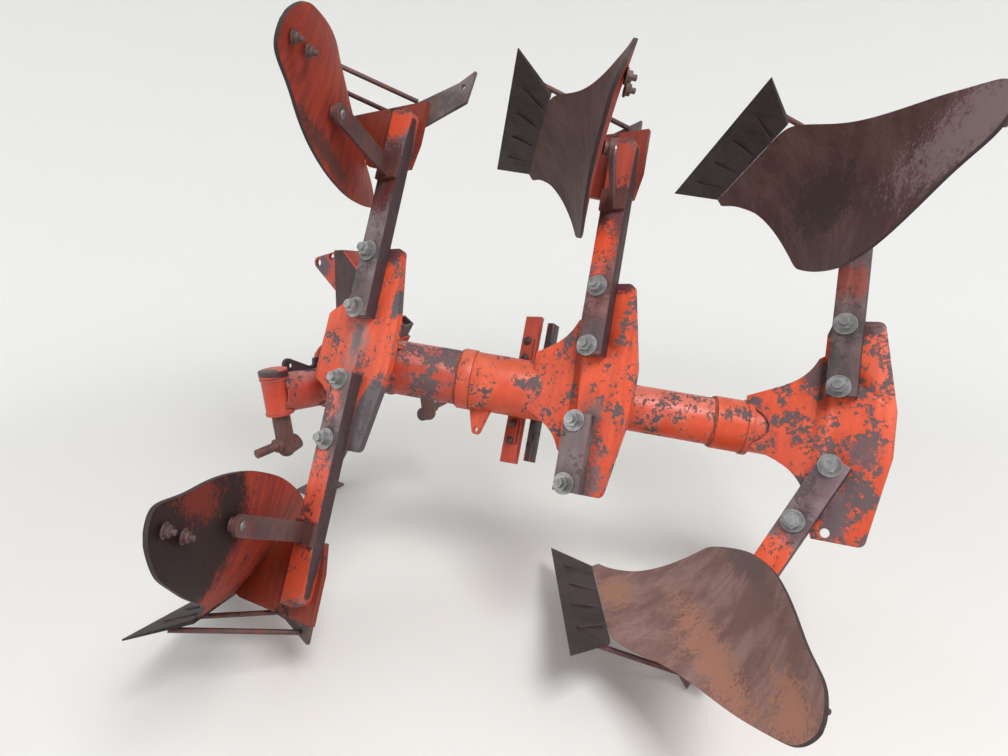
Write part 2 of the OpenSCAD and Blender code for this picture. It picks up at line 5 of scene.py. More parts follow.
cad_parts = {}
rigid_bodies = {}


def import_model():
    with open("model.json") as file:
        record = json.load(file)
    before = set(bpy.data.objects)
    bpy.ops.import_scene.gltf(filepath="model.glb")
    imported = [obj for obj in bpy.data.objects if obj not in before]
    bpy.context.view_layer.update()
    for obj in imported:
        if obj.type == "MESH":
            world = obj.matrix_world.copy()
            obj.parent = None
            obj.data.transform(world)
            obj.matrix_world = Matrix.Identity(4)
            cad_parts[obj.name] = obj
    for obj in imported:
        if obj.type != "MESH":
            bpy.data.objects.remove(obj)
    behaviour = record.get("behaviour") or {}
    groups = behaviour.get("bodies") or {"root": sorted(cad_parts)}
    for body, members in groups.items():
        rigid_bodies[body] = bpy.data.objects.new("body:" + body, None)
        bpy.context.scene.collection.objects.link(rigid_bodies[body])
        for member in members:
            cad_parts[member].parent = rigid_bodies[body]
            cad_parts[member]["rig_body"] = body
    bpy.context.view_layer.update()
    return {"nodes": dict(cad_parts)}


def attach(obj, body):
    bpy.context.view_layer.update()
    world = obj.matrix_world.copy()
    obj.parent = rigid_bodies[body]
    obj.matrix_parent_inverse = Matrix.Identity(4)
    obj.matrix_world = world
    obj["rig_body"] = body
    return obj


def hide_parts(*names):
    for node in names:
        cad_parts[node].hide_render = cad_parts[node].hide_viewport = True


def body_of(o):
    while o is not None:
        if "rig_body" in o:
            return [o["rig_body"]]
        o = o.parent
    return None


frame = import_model()

# The plough's own frames, in metres
PITCH = 5.54
BEAM_ROLL = 28.3
HEADSTOCK_ROLL = 9
BEAM_CENTRE = (-0.3352, -0.1075, 0.82837)
beam = (Matrix.Translation(BEAM_CENTRE) @ Matrix.Rotation(radians(PITCH), 4, "Y")
        @ Matrix.Rotation(radians(BEAM_ROLL), 4, "X"))
headstock = (beam @ Matrix.Translation((0, -0.012, 0))
             @ Matrix.Rotation(radians(HEADSTOCK_ROLL - BEAM_ROLL), 4, "X"))
STEP = Vector((0.600, 0.302, 0))
PIVOT_Z = 0.106
TRIP_ANGLE = 25
WING_C, WING_S = 0.803, 0.597
BACKWARD = (-WING_C, -WING_S, 0)


def body_place(step, side, tripped):
    """A plough body's frame: Z away from the beam, so that one drawing serves both sides."""
    flip = Matrix.Diagonal((1, 1, side, 1))
    swing = (Matrix.Translation((0, 0, PIVOT_Z)) @ Matrix.Rotation(radians(TRIP_ANGLE * tripped), 4, "Y")
             @ Matrix.Translation((0, 0, -PIVOT_Z)))
    return beam @ Matrix.Translation(STEP * step) @ flip @ swing


# name, step along the beam, side, tripped, body it rides on
BODIES = [
    ("upper_1", 1, 1, 0, "beam"),
    ("upper_2", 0, 1, 0, "beam"),
    ("upper_3", -1, 1, 0, "beam"),
    ("lower_1", 1, -1, 0, "beam"),
    ("lower_3", -1, -1, 1, "rear_lower_leg"),
]
PLACE = {name: body_place(step, side, tripped) for name, step, side, tripped, rides in BODIES}
RIDES = {name: rides for name, step, side, tripped, rides in BODIES}


def board_u(z):
    """How far up the board's sweep a height is, 0 at its plain middle."""
    return max(0.0, (z - 0.400) / 0.410)


def board_twist(z):
    """The board's twist at a height."""
    return max(-0.03, 0.16 * (1 - board_u(z) / 0.58))


def board_n(e, z):
    """How far the mouldboard's face stands ahead of the body at place e along it and height z."""
    return 0.108 + 0.148 * board_u(z) ** 2.5 + board_twist(z) * (e - 0.100)


def spot(e, n, z):
    """A place given along the body, ahead of it and away from the beam."""
    return Vector((n * WING_C - e * WING_S, e * WING_C + n * WING_S, z))


def on_board(e, z):
    """A place on the mouldboard's face."""
    return spot(e, board_n(e, z), z)


# Camera, floor and light
scene = bpy.context.scene
scene.view_settings.view_transform = "Standard"
camera = bpy.data.objects.new("camera", bpy.data.cameras.new("camera"))
scene.collection.objects.link(camera)
CAMERA_PLACE = (-1.053, 1.444, 1.409)
CAMERA_AIM = Vector((0.512, -0.800, -0.313))
camera.location = CAMERA_PLACE
camera.rotation_euler = CAMERA_AIM.to_track_quat("-Z", "Y").to_euler()
camera.data.sensor_width = 36
camera.data.lens = 22.86
camera.data.clip_end = 200
scene.camera = camera
LAMP_AIM = Vector((0, 0, 0.8))


def soft_lamp(name, place, size, watts):
    """A square studio lamp aimed at the plough's middle."""
    lamp = bpy.data.lights.new(name, "AREA")
    lamp.size = size
    lamp.energy = watts
    holder = bpy.data.objects.new(name, lamp)
    scene.collection.objects.link(holder)
    holder.location = place
    holder.rotation_euler = (LAMP_AIM - Vector(place)).to_track_quat("-Z", "Y").to_euler()


soft_lamp("key_light", (-3.0, 1.6, 5.2), 2.0, 255)
soft_lamp("fill_light", (2.6, 4.2, 2.6), 3.2, 60)

# the backdrop's strength where it lights the plough, and where the camera or a shine sees it
LIT_STRENGTH = 0.72
SEEN_STRENGTH = 0.86
world = bpy.data.worlds.new("studio")
scene.world = world
world.use_nodes = True
sky = world.node_tree
background = sky.nodes["Background"]
rays = sky.nodes.new("ShaderNodeLightPath")
either = sky.nodes.new("ShaderNodeMath")
either.operation = "MAXIMUM"
sky.links.new(rays.outputs["Is Camera Ray"], either.inputs[0])
sky.links.new(rays.outputs["Is Glossy Ray"], either.inputs[1])
strength = sky.nodes.new("ShaderNodeMapRange")
strength.inputs["To Min"].default_value = LIT_STRENGTH
strength.inputs["To Max"].default_value = SEEN_STRENGTH
sky.links.new(either.outputs[0], strength.inputs["Value"])
sky.links.new(strength.outputs["Result"], background.inputs["Strength"])
background.inputs["Color"].default_value = (0.97, 0.97, 0.98, 1)


# Small tools for materials
def feed(tree, item, inputs):
    """Links each input that is a socket and sets each that is a value."""
    for key, value in inputs.items():
        if isinstance(value, bpy.types.NodeSocket):
            tree.links.new(value, item.inputs[key])
        else:
            item.inputs[key].default_value = value


def add(tree, kind, settings=None, inputs=None):
    item = tree.nodes.new(kind)
    for key, value in (settings or {}).items():
        setattr(item, key, value)
    feed(tree, item, inputs or {})
    return item


def calc(tree, operation, a, b=0.0):
    return add(tree, "ShaderNodeMath", {"operation": operation}, {0: a, 1: b}).outputs[0]


def noise_value(tree, place, scale, detail, roughness):
    return add(tree, "ShaderNodeTexNoise", None,
               {"Vector": place, "Scale": scale, "Detail": detail, "Roughness": roughness}).outputs["Fac"]


def vector_calc(tree, operation, a, b):
    return add(tree, "ShaderNodeVectorMath", {"operation": operation}, {0: a, 1: b}).outputs[0]


def ramp(tree, value, low, high):
    """0 below low, 1 above high, smooth between."""
    return add(tree, "ShaderNodeMapRange", {"interpolation_type": "SMOOTHSTEP"},
               {"Value": value, "From Min": low, "From Max": high}).outputs["Result"]


def blend_colour(tree, mask, under, over):
    """The colour over, laid on the colour under where the mask is 1."""
    colours = [tone if isinstance(tone, bpy.types.NodeSocket) else (*tone, 1) for tone in (under, over)]
    mix = add(tree, "ShaderNodeMix", {"data_type": "RGBA"}, {0: mask, 6: colours[0], 7: colours[1]})
    return mix.outputs[2]


def scaled_colour(colour, factor):
    return tuple(min(1, part * factor) for part in colour)


def new_group(name, inputs, outputs):
    tree = bpy.data.node_groups.new(name, "ShaderNodeTree")
    for label, kind, start in inputs:
        socket = tree.interface.new_socket(label, in_out="INPUT", socket_type=kind)
        if start is not None:
            socket.default_value = start
    for label, kind in outputs:
        tree.interface.new_socket(label, in_out="OUTPUT", socket_type=kind)
    return tree, tree.nodes.new("NodeGroupInput").outputs, tree.nodes.new("NodeGroupOutput").inputs


FLOAT, VECTOR = "NodeSocketFloat", "NodeSocketVector"


def make_chipped_paint():
    """Ragged chips and specks through paint, thick in some places and thin in others."""
    tree, put, out = new_group(
        "chipped_paint",
        [("Place", VECTOR, None), ("Size", FLOAT, 45.0), ("Amount", FLOAT, 0.4), ("Shift", FLOAT, 0.0)],
        [("Chips", FLOAT), ("Fade", FLOAT), ("Height", FLOAT)])
    moved = vector_calc(tree, "ADD", put["Place"], put["Shift"])
    fine = noise_value(tree, moved, put["Size"], 8.0, 0.68)
    coarse = noise_value(tree, moved, calc(tree, "MULTIPLY", put["Size"], 0.16), 3.0, 0.6)
    speck = noise_value(tree, moved, calc(tree, "MULTIPLY", put["Size"], 4.2), 2.0, 0.5)
    swell = calc(tree, "MULTIPLY", calc(tree, "SUBTRACT", coarse, 0.5), 1.1)
    level = calc(tree, "ADD", fine, swell)
    limit = calc(tree, "SUBTRACT", 0.82, calc(tree, "MULTIPLY", put["Amount"], 0.42))
    chips = ramp(tree, calc(tree, "SUBTRACT", level, limit), 0.0, 0.025)
    speck_limit = calc(tree, "SUBTRACT", 0.76, calc(tree, "MULTIPLY", put["Amount"], 0.14))
    speck_level = calc(tree, "ADD", speck, calc(tree, "MULTIPLY", swell, 0.25))
    specks = ramp(tree, calc(tree, "SUBTRACT", speck_level, speck_limit), 0.0, 0.03)
    both = calc(tree, "MAXIMUM", chips, specks)
    tree.links.new(both, out["Chips"])
    tree.links.new(ramp(tree, coarse, 0.42, 0.66), out["Fade"])
    tree.links.new(calc(tree, "SUBTRACT", 1.0, both), out["Height"])
    return tree


def make_edge_wear():
    """Paint rubbed off along edges: where a rounded normal leaves the true one, broken up by noise."""
    tree, put, out = new_group(
        "edge_wear", [("Place", VECTOR, None), ("Reach", FLOAT, 0.004)], [("Wear", FLOAT)])
    rounded = add(tree, "ShaderNodeBevel", {"samples": 4}, {"Radius": put["Reach"]}).outputs["Normal"]
    true = add(tree, "ShaderNodeNewGeometry").outputs["Normal"]
    same = add(tree, "ShaderNodeVectorMath", {"operation": "DOT_PRODUCT"}, {0: rounded, 1: true})
    turned = calc(tree, "SUBTRACT", 1.0, same.outputs["Value"])
    noise = noise_value(tree, put["Place"], 55.0, 5.0, 0.7)
    limit = calc(tree, "MULTIPLY", calc(tree, "SUBTRACT", 1.05, noise), 0.12)
    tree.links.new(ramp(tree, calc(tree, "SUBTRACT", turned, limit), 0.0, 0.03), out["Wear"])
    return tree


def make_worn_patch():
    """A ragged patch round one place."""
    tree, put, out = new_group(
        "worn_patch",
        [("Place", VECTOR, None), ("Centre", VECTOR, None), ("Reach", VECTOR, (0.1, 0.1, 0.1)),
         ("Ragged", FLOAT, 0.5)],
        [("Mask", FLOAT)])
    off = vector_calc(tree, "SUBTRACT", put["Place"], put["Centre"])
    scaled = vector_calc(tree, "DIVIDE", off, put["Reach"])
    far = add(tree, "ShaderNodeVectorMath", {"operation": "LENGTH"}, {0: scaled}).outputs["Value"]
    noise = noise_value(tree, put["Place"], 26.0, 6.0, 0.65)
    wobble = calc(tree, "MULTIPLY", calc(tree, "SUBTRACT", noise, 0.5), put["Ragged"])
    fine = noise_value(tree, put["Place"], 120.0, 5.0, 0.7)
    fleck_size = calc(tree, "MULTIPLY", put["Ragged"], 3.0)
    flecks = calc(tree, "MULTIPLY", calc(tree, "SUBTRACT", fine, 0.5), fleck_size)
    level = calc(tree, "ADD", calc(tree, "ADD", far, calc(tree, "MULTIPLY", wobble, 2.4)), flecks)
    soft = add(tree, "ShaderNodeMapRange", {"interpolation_type": "SMOOTHSTEP"},
               {"Value": level, "From Min": 1.02,
                "From Max": calc(tree, "SUBTRACT", 0.97, calc(tree, "MULTIPLY", put["Ragged"], 0.55))})
    tree.links.new(soft.outputs["Result"], out["Mask"])
    return tree


def make_weathering():
    """Blotches, fine grain and long streaks, for rust and bare steel."""
    tree, put, out = new_group(
        "weathering",
        [("Place", VECTOR, None), ("Stretch", VECTOR, (1, 1, 0.12)), ("Size", FLOAT, 40.0)],
        [("Blotch", FLOAT), ("Grain", FLOAT), ("Streak", FLOAT)])
    blotch = noise_value(tree, put["Place"], calc(tree, "MULTIPLY", put["Size"], 0.22), 7.0, 0.62)
    grain = noise_value(tree, put["Place"], calc(tree, "MULTIPLY", put["Size"], 7.0), 4.0, 0.7)
    drawn = vector_calc(tree, "MULTIPLY", put["Place"], put["Stretch"])
    streak = noise_value(tree, drawn, put["Size"], 6.0, 0.6)
    tree.links.new(ramp(tree, blotch, 0.38, 0.64), out["Blotch"])
    tree.links.new(grain, out["Grain"])
    tree.links.new(ramp(tree, streak, 0.36, 0.66), out["Streak"])
    return tree


chipped_paint = make_chipped_paint()
edge_wear = make_edge_wear()
worn_patch = make_worn_patch()
weathering = make_weathering()


def use_group(tree, group, inputs):
    item = tree.nodes.new("ShaderNodeGroup")
    item.node_tree = group
    feed(tree, item, inputs)
    return item.outputs


def start_material(name, own_frame):
    """A new material, its shader, and Object coordinates turned into a piece's own frame."""
    material = bpy.data.materials.new(name)
    material.use_nodes = True
    tree = material.node_tree
    shader = tree.nodes["Principled BSDF"]
    linear = own_frame.inverted()
    scale = (1, 1, 1)
    turn = linear.to_3x3()
    if turn.determinant() < 0:
        scale = (1, 1, -1)
        turn = turn @ Matrix.Diagonal((1, 1, -1))
    coordinates = add(tree, "ShaderNodeTexCoord")
    place = add(tree, "ShaderNodeMapping", {"vector_type": "POINT"},
                {"Vector": coordinates.outputs["Object"], "Location": linear.to_translation(),
                 "Rotation": turn.to_euler("XYZ"), "Scale": scale}).outputs["Vector"]
    facing = coordinates.outputs["Normal"]
    return material, tree, shader, place, facing


def facing_amount(tree, normal, direction):
    return add(tree, "ShaderNodeVectorMath", {"operation": "DOT_PRODUCT"},
               {0: normal, 1: Vector(direction).normalized()}).outputs["Value"]


def add_patches(tree, place, colour, patches):
    for centre, reach, tint, ragged in patches:
        patch = use_group(tree, worn_patch,
                          {"Place": place, "Centre": centre, "Reach": reach, "Ragged": ragged})
        colour = blend_colour(tree, patch["Mask"], colour, tint)
    return colour


def grain_roughness(tree, grain, low, high):
    """A roughness between low and high that follows the grain."""
    spread = add(tree, "ShaderNodeMapRange", None,
                 {"Value": grain, "From Min": 0.3, "From Max": 0.7, "To Min": low, "To Max": high})
    return spread.outputs["Result"]


def set_surface(tree, shader, colour, rough, height, depth):
    tree.links.new(colour, shader.inputs["Base Color"])
    tree.links.new(rough, shader.inputs["Roughness"])
    bump = add(tree, "ShaderNodeBump", None, {"Strength": 0.6, "Distance": depth, "Height": height})
    tree.links.new(bump.outputs["Normal"], shader.inputs["Normal"])


ORANGE = (0.68, 0.066, 0.014)
SALMON = (0.70, 0.17, 0.095)
CHIP = (0.060, 0.040, 0.042)
MAROON = (0.085, 0.026, 0.028)
GREY_STEEL = (0.125, 0.095, 0.100)
BARE = (0.080, 0.064, 0.070)
BACK_PAINT = (0.36, 0.040, 0.018)
BACK_STREAK = (0.11, 0.026, 0.020)
BACK_CHIP = (0.035, 0.020, 0.020)
BOARD_RIM = (0.040, 0.026, 0.028)


def painted(name, own_frame, amount=0.45, size=45.0, shift=0.0, colour=ORANGE, faded_and_lit=SALMON,
            under=CHIP, top_highlight=0.5, patches=(), streaky=0.25):
    """Old orange-red paint: faded in random blotches and painted paler where it faces up, a painted
    highlight from above; chipped to dark steel, streaked with grime.
    """
    material, tree, shader, place, facing = start_material(name, own_frame)
    chips = use_group(tree, chipped_paint, {"Place": place, "Size": size, "Amount": amount, "Shift": shift})
    worn = use_group(tree, edge_wear, {"Place": place})["Wear"]
    dirt = use_group(tree, weathering, {"Place": place, "Stretch": (1, 1, 0.12), "Size": 34.0})
    # painted highlight: faces that turn up are painted towards the pale colour, as if lit from above; the
    # fade blotches from noise are real
    upward = ramp(tree, facing_amount(tree, facing, (0.1, 0.1, 1)), 0.25, 1.0)
    fade_and_highlight = calc(tree, "MULTIPLY", chips["Fade"], 0.55)
    fade_and_highlight = calc(tree, "MAXIMUM", fade_and_highlight, calc(tree, "MULTIPLY", upward, top_highlight))
    tone = blend_colour(tree, fade_and_highlight, colour, faded_and_lit)
    streaks = calc(tree, "MULTIPLY", dirt["Streak"], streaky)
    tone = blend_colour(tree, streaks, tone, scaled_colour(colour, 0.50))
    blotches = calc(tree, "MULTIPLY", dirt["Blotch"], 0.42)
    tone = blend_colour(tree, blotches, tone, scaled_colour(colour, 0.62))
    grain = calc(tree, "MULTIPLY", ramp(tree, dirt["Grain"], 0.5, 0.75), 0.25)
    tone = blend_colour(tree, grain, tone, scaled_colour(colour, 0.7))
    bare = blend_colour(tree, dirt["Grain"], under, scaled_colour(under, 2.4))
    tone = blend_colour(tree, calc(tree, "MAXIMUM", chips["Chips"], worn), tone, bare)
    tone = add_patches(tree, place, tone, patches)
    rough = add(tree, "ShaderNodeMapRange", None,
                {"Value": chips["Chips"], "To Min": 0.42, "To Max": 0.8}).outputs["Result"]
    set_surface(tree, shader, tone, rough, chips["Height"], 0.0009)
    return material


def rusted(name, own_frame, colour, light, rust, size=40.0, metallic=0.25, roughness=(0.42, 0.7),
           patches=(), stretch=(1, 1, 0.12), rust_amount=0.6, depth=0.0006, chips=0.0):
    """Bare weathered steel: blotched, grained and streaked, with rust coming through."""
    material, tree, shader, place, facing = start_material(name, own_frame)
    look = use_group(tree, weathering, {"Place": place, "Stretch": stretch, "Size": size})
    tone = blend_colour(tree, look["Blotch"], colour, light)
    tone = blend_colour(tree, calc(tree, "MULTIPLY", look["Streak"], rust_amount), tone, rust)
    speck = ramp(tree, look["Grain"], 0.52, 0.7)
    tone = blend_colour(tree, calc(tree, "MULTIPLY", speck, 0.45), tone, scaled_colour(colour, 0.45))
    worn = use_group(tree, edge_wear, {"Place": place})["Wear"]
    tone = blend_colour(tree, calc(tree, "MULTIPLY", worn, 0.5), tone, scaled_colour(light, 1.6))
    tone = add_patches(tree, place, tone, patches)
    if chips:
        chipped = use_group(tree, chipped_paint,
                            {"Place": place, "Size": 90.0, "Amount": chips, "Shift": 2.3})
        mask = calc(tree, "MULTIPLY", chipped["Chips"], 0.85)
        tone = blend_colour(tree, mask, tone, scaled_colour(colour, 0.55))
    rough = grain_roughness(tree, look["Grain"], *roughness)
    set_surface(tree, shader, tone, rough, look["Grain"], depth)
    shader.inputs["Metallic"].default_value = metallic
    return material


def board_finish(name, body, face, face_light, face_rust, back_patches, face_patches):
    """Mouldboard: worn rusty face, painted back with a dark rim between the two."""
    material, tree, shader, place, facing = start_material(name, PLACE[body])
    look = use_group(tree, weathering, {"Place": place, "Stretch": (1, 1, 0.10), "Size": 42.0})
    chips = use_group(tree, chipped_paint, {"Place": place, "Size": 38.0, "Amount": 0.30, "Shift": 1.7})
    front = blend_colour(tree, look["Blotch"], face, face_light)
    front = blend_colour(tree, calc(tree, "MULTIPLY", look["Streak"], 0.45), front, face_rust)
    specks = calc(tree, "MULTIPLY", ramp(tree, look["Grain"], 0.5, 0.72), 0.5)
    front = blend_colour(tree, specks, front, scaled_colour(face, 0.5))
    front = add_patches(tree, place, front, face_patches)
    back = blend_colour(tree, calc(tree, "MULTIPLY", look["Streak"], 0.7), BACK_PAINT, BACK_STREAK)
    back = blend_colour(tree, chips["Chips"], back, BACK_CHIP)
    back = add_patches(tree, place, back, back_patches)
    ahead = facing_amount(tree, facing, PLACE[body].to_3x3() @ -Vector(BACKWARD))
    tone = blend_colour(tree, ramp(tree, ahead, -0.55, -0.7), BOARD_RIM, back)
    tone = blend_colour(tree, ramp(tree, ahead, 0.3, 0.45), tone, front)
    rough = grain_roughness(tree, look["Grain"], 0.50, 0.74)
    set_surface(tree, shader, tone, rough, look["Grain"], 0.0004)
    shader.inputs["Specular IOR Level"].default_value = 0.22
    return material


def zinc_finish(name, own_frame, rust_amount=0.25):
    return rusted(name, own_frame, (0.17, 0.17, 0.17), (0.34, 0.35, 0.36), (0.13, 0.085, 0.06),
                  size=90.0, metallic=0.6, roughness=(0.28, 0.5), rust_amount=rust_amount, depth=0.0002)


# Materials of the frame; a patch is centre and reach in the piece's own frame, colour, raggedness
# in painted(), the weight after the three colours is the painted highlight on faces that turn up
TOP_DARK = ((-0.052, 0, 0.300), (0.060, 0.1, 0.060), MAROON, 0.6)
finishes = {
    "plate_1": painted("plate_paint_1", beam @ Matrix.Translation(STEP), 0.54, 105, 0.0,
                       streaky=0.5, patches=[
        TOP_DARK,
        ((-0.105, 0, -0.235), (0.066, 0.1, 0.150), BARE, 0.12),
        ((0.004, 0, 0.010), (0.050, 0.1, 0.120), (0.36, 0.12, 0.10), 0.9),
        ((0.010, 0, 0.020), (0.026, 0.1, 0.060), GREY_STEEL, 0.95),
        ((-0.118, 0, 0.130), (0.020, 0.1, 0.050), BARE, 0.4)]),
    "plate_2": painted("plate_paint_2", beam, 0.58, 105, 3.1, streaky=0.45, patches=[
        ((-0.050, 0, 0.305), (0.070, 0.1, 0.040), MAROON, 0.6),
        ((-0.030, 0, -0.080), (0.040, 0.1, 0.060), (0.16, 0.085, 0.085), 0.95),
        ((-0.060, 0, -0.250), (0.030, 0.1, 0.090), (0.15, 0.080, 0.085), 0.95)]),
    "plate_3": painted("plate_paint_3", beam @ Matrix.Translation(-STEP), 0.66, 95, 6.3,
                       streaky=0.45, patches=[
        TOP_DARK,
        ((0.060, 0, 0.140), (0.050, 0.1, 0.050), (0.11, 0.058, 0.062), 0.95),
        ((-0.070, 0, -0.060), (0.045, 0.1, 0.045), (0.13, 0.070, 0.075), 0.95),
        ((-0.020, 0, -0.230), (0.050, 0.1, 0.090), (0.115, 0.072, 0.080), 0.8)]),
    "front_tube": painted("tube_paint_front", beam, 0.74, 85, 2.0, (0.50, 0.060, 0.030),
                          (0.52, 0.17, 0.14), (0.070, 0.045, 0.048), 0.75),
    "collar_ring": painted("ring_paint", beam, 0.52, 95, 4.4, (0.62, 0.075, 0.028), top_highlight=0.7),
    "beam_sleeve": painted("sleeve_paint", beam, 0.50, 95, 5.0, (0.66, 0.075, 0.024), top_highlight=0.6),
    "rear_tube": painted("tube_paint_rear", beam, 0.58, 95, 7.0, (0.68, 0.075, 0.024),
                         (0.62, 0.22, 0.17), top_highlight=0.7),
    "neck_sleeve": painted("neck_paint", beam, 0.50, 95, 8.0, top_highlight=0.6),
    "beam_lug": painted("lug_paint", beam, 0.3, 60, 9.0, (0.62, 0.07, 0.022)),
    "saddles": painted("rib_paint", beam, 0.4, 60, 9.5, (0.5, 0.06, 0.02)),
    "turnover_arm": painted("arm_paint", beam, 0.45, 50, 10.0, (0.55, 0.06, 0.024)),
    "turnover_shaft": rusted("shaft_steel", beam, (0.10, 0.08, 0.075), (0.20, 0.17, 0.16),
                             (0.16, 0.08, 0.05)),
    "stop_bars": painted("stop_paint", beam, 0.45, 60, 11.0, (0.55, 0.055, 0.024),
                         (0.5, 0.16, 0.12), patches=[
        ((0.232, -0.166, 0), (0.016, 0.030, 0.4), (0.030, 0.022, 0.024), 0.02)]),
    "bearing_housing": painted("housing_paint", headstock, 0.45, 50, 12.0, (0.42, 0.045, 0.024)),
    "cross_tube": painted("cross_tube_paint", headstock, 0.62, 50, 13.0, (0.44, 0.05, 0.028),
                          (0.45, 0.20, 0.17), (0.040, 0.026, 0.028), 0.9),
    "hitch_sleeves": painted("hitch_paint", headstock, 0.22, 70, 14.0, (0.56, 0.05, 0.018),
                             (0.45, 0.12, 0.09), top_highlight=0.3, patches=[
        ((0.900, end, 0.010), (0.07, 0.07, 0.012), (0.05, 0.022, 0.026), 0.05) for end in (0.364, -0.344)]),
    "hitch_cranks": rusted("crank_steel", headstock, (0.045, 0.032, 0.034), (0.085, 0.055, 0.055),
                           (0.40, 0.06, 0.02), rust_amount=0.35, metallic=0.1),
    "mast_post": painted("mast_paint", headstock, 0.50, 55, 15.0, (0.50, 0.045, 0.018),
                         under=(0.06, 0.032, 0.045), patches=[
        ((0.940, 0, 0.350), (0.05, 0.08, 0.075), (0.055, 0.025, 0.040), 0.5)]),
    "mast_cheeks": rusted("cheek_steel", headstock, (0.030, 0.022, 0.028), (0.060, 0.038, 0.045),
                          (0.16, 0.03, 0.015), rust_amount=0.3, metallic=0.1),
    "mast_back": painted("mast_back_paint", headstock, 0.35, 60, 16.0, (0.68, 0.08, 0.024)),
    "nose_plates": painted("nose_paint", headstock, 0.40, 60, 17.0, (0.62, 0.06, 0.022),
                           under=(0.09, 0.055, 0.075), patches=[
        ((1.030, 0, 0.350), (0.052, 0.08, 0.050), (0.105, 0.065, 0.085), 0.5)]),
    "lug_plate": rusted("lug_steel", headstock, (0.028, 0.020, 0.026), (0.055, 0.038, 0.045),
                        (0.10, 0.03, 0.02), rust_amount=0.3, metallic=0.1),
    "park_sleeve": painted("park_sleeve_paint", headstock, 0.4, 60, 18.0, (0.5, 0.055, 0.022)),
    "park_clamp": rusted("clamp_steel", headstock, (0.12, 0.10, 0.10), (0.24, 0.22, 0.21),
                         (0.2, 0.09, 0.05)),
    "park_leg": rusted("park_leg_steel", headstock, (0.085, 0.065, 0.065), (0.15, 0.12, 0.12),
                       (0.20, 0.08, 0.045)),
    "park_shoe": rusted("park_shoe_steel", headstock, (0.075, 0.058, 0.058), (0.14, 0.11, 0.11),
                        (0.20, 0.09, 0.05)),
}

# legs: the plough body whose frame they use, dark colour, light colour, patches
ORANGE_TIP = (0.62, 0.070, 0.022)
DARK_EDGE = ((-0.052, 0.02, 0.300), (0.012, 0.035, 0.6), (0.050, 0.026, 0.030), 0.05)
legs = {
    "upper_leg_1": ("upper_1", (0.100, 0.074, 0.080), (0.20, 0.165, 0.175), [
        ((0, 0.04, 0.520), (0.07, 0.06, 0.130), (0.105, 0.024, 0.024), 0.5),
        ((0, 0.04, 0.690), (0.07, 0.08, 0.060), ORANGE_TIP, 0.6)]),
    "upper_leg_2": ("upper_2", (0.145, 0.060, 0.058), (0.26, 0.115, 0.105), [
        ((0.010, 0.04, 0.400), (0.050, 0.06, 0.085), ORANGE_TIP, 0.75),
        ((-0.010, 0.04, 0.130), (0.07, 0.06, 0.070), (0.095, 0.060, 0.064), 0.6),
        ((0, 0.04, 0.640), (0.07, 0.08, 0.120), (0.36, 0.05, 0.028), 0.6)]),
    "upper_leg_3": ("upper_3", (0.070, 0.050, 0.052), (0.14, 0.095, 0.100), [
        ((0, 0.04, 0.400), (0.08, 0.06, 0.060), (0.20, 0.045, 0.032), 0.6)]),
    "lower_leg_1": ("lower_1", (0.115, 0.080, 0.084), (0.24, 0.175, 0.180), [
        ((0.004, 0.04, 0.170), (0.034, 0.03, 0.060), (0.55, 0.12, 0.085), 0.8),
        ((0.000, 0.04, 0.440), (0.060, 0.03, 0.140), (0.66, 0.100, 0.055), 0.6),
        ((0, 0.02, 0.640), (0.08, 0.08, 0.120), (0.50, 0.055, 0.018), 0.5)]),
    "lower_leg_stub_2": ("upper_2", (0.110, 0.086, 0.088), (0.17, 0.14, 0.14), []),
    "lower_leg_3": ("lower_3", (0.120, 0.080, 0.092), (0.22, 0.155, 0.175), [
        ((0, 0.04, 0.400), (0.075, 0.06, 0.075), (0.70, 0.095, 0.032), 0.5),
        ((0, 0.02, 0.640), (0.08, 0.08, 0.140), (0.40, 0.05, 0.02), 0.5)]),
}
for leg_name, (body, dark, light, patches) in legs.items():
    finishes[leg_name] = rusted(
        "finish_" + leg_name, PLACE[body], dark, light, (0.14, 0.055, 0.052), size=46.0, metallic=0.1,
        roughness=(0.45, 0.75), patches=patches + [DARK_EDGE], stretch=(1, 1, 0.3), rust_amount=0.35,
        chips=0.55)
